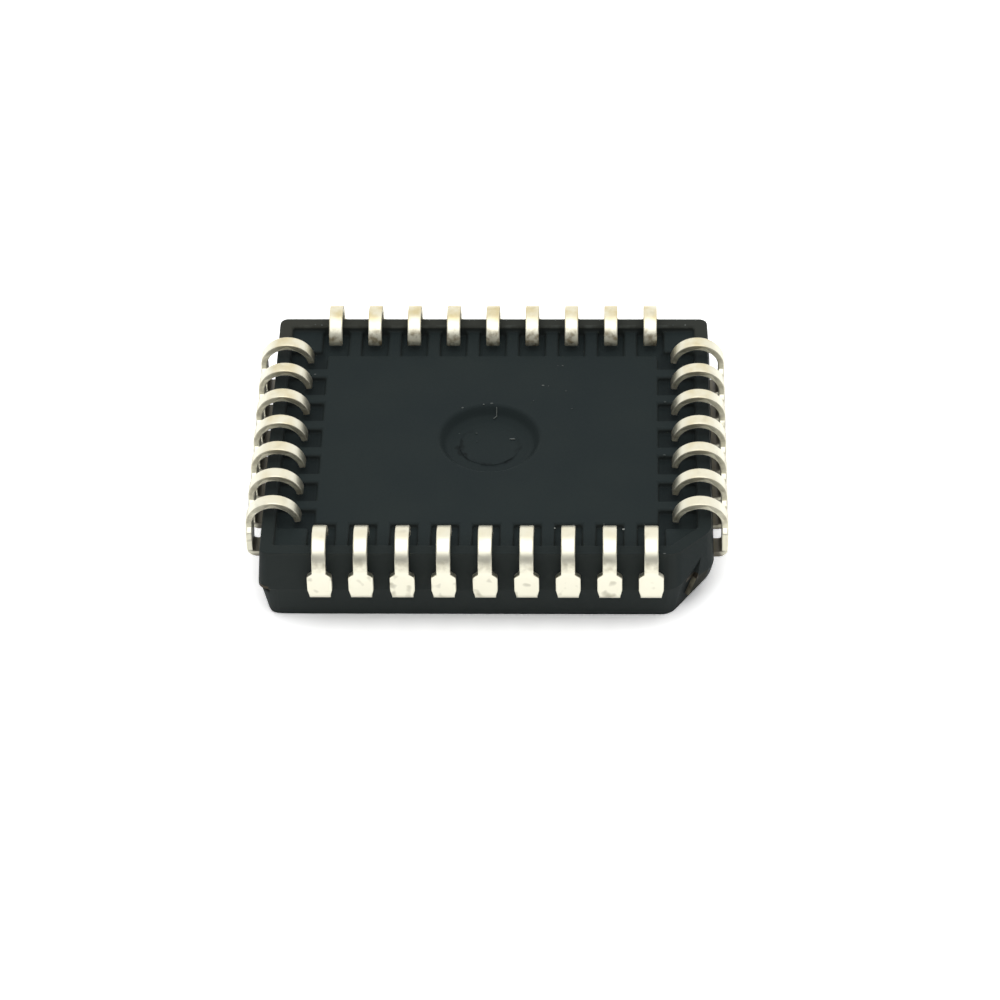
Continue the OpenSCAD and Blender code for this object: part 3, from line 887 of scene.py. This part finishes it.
moved = 0
for vert in shape.verts:
    if vert.co.xy.length > PIN_MARK_REACH or not DIMPLE_FLOOR < vert.co.z + WELD < PIN_MARK_TOP:
        continue
    outward = Vector((vert.co.x, vert.co.y, 0)).normalized()
    proud = PIN_MIDDLE - PIN_SLOPE * outward.dot(PIN_LEAN)
    proud = min(PIN_PROUDEST, max(PIN_FLATTEST, proud))
    vert.co.z = DIMPLE_FLOOR + (vert.co.z - DIMPLE_FLOOR) * proud
    vert.co += outward * PIN_RAGGED * noise.noise(outward * PIN_MARK_REACH / PIN_WAVE)
    moved += 1
print("points of the pin mark:", moved)

# %% [markdown]
# The faces of the broken gate are marked for the epoxy's graph by the way they turn from the index
# corner's own face: the ridge turns far, the broken face turns a little, and the stub only leans down.

# %% Marks of the gate, and the finished body
SCAR_HALF = 0.5 * MM
RIDGE_TOP = 1.45 * MM
RIDGE_TURN = 0.7
BREAK_TURN = 0.1
STUB_LEAN = -0.15

gate_break = shape.faces.layers.float.new("gate_break")
gate_ridge = shape.faces.layers.float.new("gate_ridge")
gate_stub = shape.faces.layers.float.new("gate_stub")
for face in shape.faces:
    at = face.calc_center_median()
    along = at.dot(INDEX_ALONG) - INDEX_MIDDLE
    on_corner = at.dot(INDEX_NORMAL) >= GATE_REACH and abs(along) <= SCAR_HALF
    if not on_corner or not GATE_LOW <= at.z <= GATE_TOP:
        continue
    turn = abs(face.normal.dot(INDEX_ALONG))
    if turn > RIDGE_TURN:
        face[gate_ridge] = 1.0 if at.z < RIDGE_TOP else 0.0
    elif turn > BREAK_TURN:
        face[gate_break] = 1.0
    elif face.normal.z < STUB_LEAN:
        face[gate_stub] = 1.0
body = new_piece(shape, "rounded_body", moulded_epoxy)
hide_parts("moulded_body")
print("body faces:", len(body.data.polygons))

# %% [markdown]
# Each lead is rounded a little less than the body. The corners of its wide shoulder are rounded first,
# then the long edges of the strip. Edges at and below the bend stay sharp, because most of them lie in
# the moulding and the tight bend leaves no room for a round.

# %% Tools for the leads
HALF_SPAN = Vector((7.46, 6.19)) * MM
SAME_PLACE = 0.01 * MM
LEAD_EDGE = 0.03 * MM
LEAD_SEGMENTS = 2
SHOULDER_EDGE = 0.04 * MM
SHOULDER_SEGMENTS = 3
SHOULDER_HALF = 0.38 * MM
SHOULDER_LOW = 2.0 * MM
BEND_TOP = 1.4 * MM


def ridges_above(shape, height):
    return [
        e for e in shape.edges
        if e.is_manifold and e.calc_face_angle_signed() > SHARP and middle(e).z > height]


def round_lead(shape, side):
    places = [v.co[1 - side] for v in shape.verts if v.co.z > SHOULDER_LOW]
    line = (min(places) + max(places)) / 2
    corners = [
        e for e in ridges_above(shape, SHOULDER_LOW)
        if abs(abs(middle(e)[1 - side] - line) - SHOULDER_HALF) < SAME_PLACE
        and abs(e.verts[0].co[side] - e.verts[1].co[side]) > SAME_PLACE]
    round_edges(shape, corners, SHOULDER_EDGE, SHOULDER_SEGMENTS)
    round_edges(shape, ridges_above(shape, BEND_TOP), LEAD_EDGE, LEAD_SEGMENTS)
    return len(corners)


print("rounds of a lead in mm:", SHOULDER_EDGE / MM, "and", LEAD_EDGE / MM)

# %% [markdown]
# While a lead's mesh is open, four marks are painted on it for the tin's graph: which faces are the
# sheared sides of the strip, how far a point lies from the strip's inner face toward its outer one, how
# near it is to the body's wall, and how far it is toward the tip. The hook is part of a circle, so the
# depth is worked out from the circle's middle.

# %% Marks of the leads
HOOK_RADIUS = 0.87 * MM
HOOK_HEIGHT = 2.38 * MM
STRIP = 0.2 * MM
BLEED_REACH = 0.26 * MM
BLEED_TOP = 1.75 * MM
SIDE_TURN = 0.9


def mark_lead(shape, side):
    sheared = shape.faces.layers.float.new("sheared_side")
    depth = shape.verts.layers.float.new("strip_depth")
    bleed = shape.verts.layers.float.new("resin_bleed")
    tip = shape.verts.layers.float.new("tip_side")
    for face in shape.faces:
        face[sheared] = 1.0 if abs(face.normal[1 - side]) > SIDE_TURN else 0.0
    centre = HALF_SPAN[side] - HOOK_RADIUS
    for vert in shape.verts:
        out = abs(vert.co[side])
        radius = out - centre
        if vert.co.z > HOOK_HEIGHT:
            radius = math.hypot(radius, vert.co.z - HOOK_HEIGHT)
        vert[tip] = min(1, max(0, (centre - out) / HOOK_RADIUS))
        vert[depth] = min(1, max(0, 1 - (HOOK_RADIUS - radius) / STRIP))
        near_wall = out - HALF_BODY[side] < BLEED_REACH and vert.co.z < BLEED_TOP
        vert[bleed] = 1.0 if near_wall else 0.0


print("strip of", STRIP / MM, "mm, rolled to a radius of", HOOK_RADIUS / MM, "mm")

# %% [markdown]
# All 32 leads go through the same two steps. A lead points out along X on a short side, or along Y on a
# long side, and how far it reaches tells which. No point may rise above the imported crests, because the
# finished model has to keep to the frame's box.

# %% Plated leads
leads = [name for name in sorted(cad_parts) if name.startswith("lead_")]
for name in leads:
    shape = clean_mesh(name)
    reach = max(abs(v.co.x) for v in shape.verts)
    side = 0 if abs(reach - HALF_SPAN.x) < SAME_PLACE else 1
    rounded = round_lead(shape, side)
    mark_lead(shape, side)
    for vert in shape.verts:
        vert.co.z = min(vert.co.z, cad_high.z)
    lead = new_piece(shape, "plated_" + name, tin_plating)
    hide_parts(name)
print("leads:", len(leads), "faces of one:", len(lead.data.polygons), "shoulder corners:", rounded)

# %% [markdown]
# Dust has settled on the platform, in the dimple and against the walls of the pockets. It is skin and
# paper lint: matte, pale grey, and greyer where a fleck is thin. How pale a fleck is comes from a mark
# on its points.

# %% Dust stuff
MOTTLE_MM = 0.05
MOTTLE_LEAST = 0.7
MOTTLE_MOST = 1.3
THIN_DUST = "#3a4040"
THICK_DUST = "#b9bcb6"

dust_stuff, tree, shader = new_material("pale dust")
place = add(tree, "ShaderNodeTexCoord").outputs["Object"]
mottle = add(tree, "ShaderNodeTexNoise", {"Vector": place, "Scale": per_metre(MOTTLE_MM)})
pallor = add(tree, "ShaderNodeAttribute", attribute_name="pallor")
uneven = add(
    tree, "ShaderNodeMapRange",
    {"Value": mottle.outputs["Fac"], "To Min": MOTTLE_LEAST, "To Max": MOTTLE_MOST})
pale = add(
    tree, "ShaderNodeMath", {0: pallor.outputs["Fac"], 1: uneven.outputs["Result"]},
    operation="MULTIPLY")
tone = add(
    tree, "ShaderNodeMix",
    {"Factor": pale.outputs[0], "A": linear(THIN_DUST), "B": linear(THICK_DUST)}, data_type="RGBA")
shader.inputs["Roughness"].default_value = 0.9
shader.inputs["Specular IOR Level"].default_value = 0.1
tree.links.new(tone.outputs["Result"], shader.inputs["Base Color"])
print("dust from", THIN_DUST, "to", THICK_DUST)

# %% [markdown]
# Each fleck is a small uneven lump: a ball, flattened and pushed about by noise. It is listed by its
# place on the chip and its length, both in mm, and how pale it is. A fibre is a thin rod through a few
# points, and one hangs down the dimple's wall.

# %% Dust
FLECKS = [
    (-0.896, 1.441, 2.47, 0.09, 0.16), (-0.222, 1.609, 2.47, 0.08, 0.2), (0.031, 1.658, 2.47, 0.1, 0.14),
    (1.649, 2.541, 2.47, 0.09, 0.15), (1.825, 2.516, 2.47, 0.05, 0.05), (2.264, 3.525, 2.47, 0.07, 0.07),
    (2.117, 3.525, 2.47, 0.05, 0.03), (1.357, 1.787, 2.47, 0.06, 0.02), (-5.684, 3.087, 2.47, 0.08, 0.13),
    (5.543, 1.735, 2.47, 0.1, 0.05), (5.511, -0.824, 2.47, 0.1, 0.05), (-0.435, 0.562, 2.16, 0.08, 0.06),
    (-0.981, 0.576, 2.13, 0.06, 0.02), (-0.409, 0.176, 2.16, 0.05, 0.02), (0.72, 0.289, 2.16, 0.22, 0.17),
    (-5.78, 5.345, 2.67, 0.1, 0.1), (-5.567, 5.32, 2.67, 0.09, 0.16), (6.211, 5.328, 2.67, 0.08, 0.2),
    (5.823, 5.328, 2.67, 0.06, 0.06), (5.48, -5.626, 2.67, 0.12, 0.3), (2.11, -4.23, 2.45, 0.06, 0.7),
    (2.687, -4.128, 2.47, 0.07, 0.3), (4.24, -4.25, 2.43, 0.12, 0.8), (3.62, -4.07, 2.47, 0.05, 0.1),
    (2.39, 2.27, 2.47, 0.07, 0.03), (2.58, 1.4, 2.47, 0.09, 0.02),
]
FIBRES = [
    ([(0.189, 1.53, 2.43), (0.189, 1.43, 2.3), (0.188, 1.33, 2.21), (0.095, 1.25, 2.18)], 0.2),
]
FLECK_WIDTH = 0.06 * MM
FLECK_FLATNESS = 0.6
LUMP_SIZE = 0.04 * MM
LUMP_HEIGHT = 0.5
FIBRE_RADIUS = 0.014 * MM
FIBRE_SIDES = 6

shape = bmesh.new()
pallor = shape.verts.layers.float.new("pallor")
for x, y, z, length, paleness in FLECKS:
    centre = Vector((x, y, z)) * MM
    width = min(length * MM, FLECK_WIDTH) / 2
    grow = Matrix.Diagonal((length * MM / 2, width, width * FLECK_FLATNESS, 1))
    ball = bmesh.ops.create_icosphere(
        shape, subdivisions=1, radius=1, matrix=Matrix.Translation(centre) @ grow)
    for vert in ball["verts"]:
        away = vert.co - centre
        vert.co = centre + away * (1 + LUMP_HEIGHT * noise.noise(vert.co / LUMP_SIZE))
        vert[pallor] = paleness
for points, paleness in FIBRES:
    for start, end in zip(points, points[1:]):
        start = Vector(start) * MM
        run = Vector(end) * MM - start
        turn = run.to_track_quat("Z", "Y").to_matrix().to_4x4()
        rod = bmesh.ops.create_cone(
            shape, cap_ends=True, segments=FIBRE_SIDES, radius1=FIBRE_RADIUS, radius2=FIBRE_RADIUS,
            depth=run.length, matrix=Matrix.Translation(start + run / 2) @ turn)
        for vert in rod["verts"]:
            vert[pallor] = paleness
new_piece(shape, "dust", dust_stuff)
print("flecks of dust:", len(FLECKS), "fibres:", len(FIBRES))
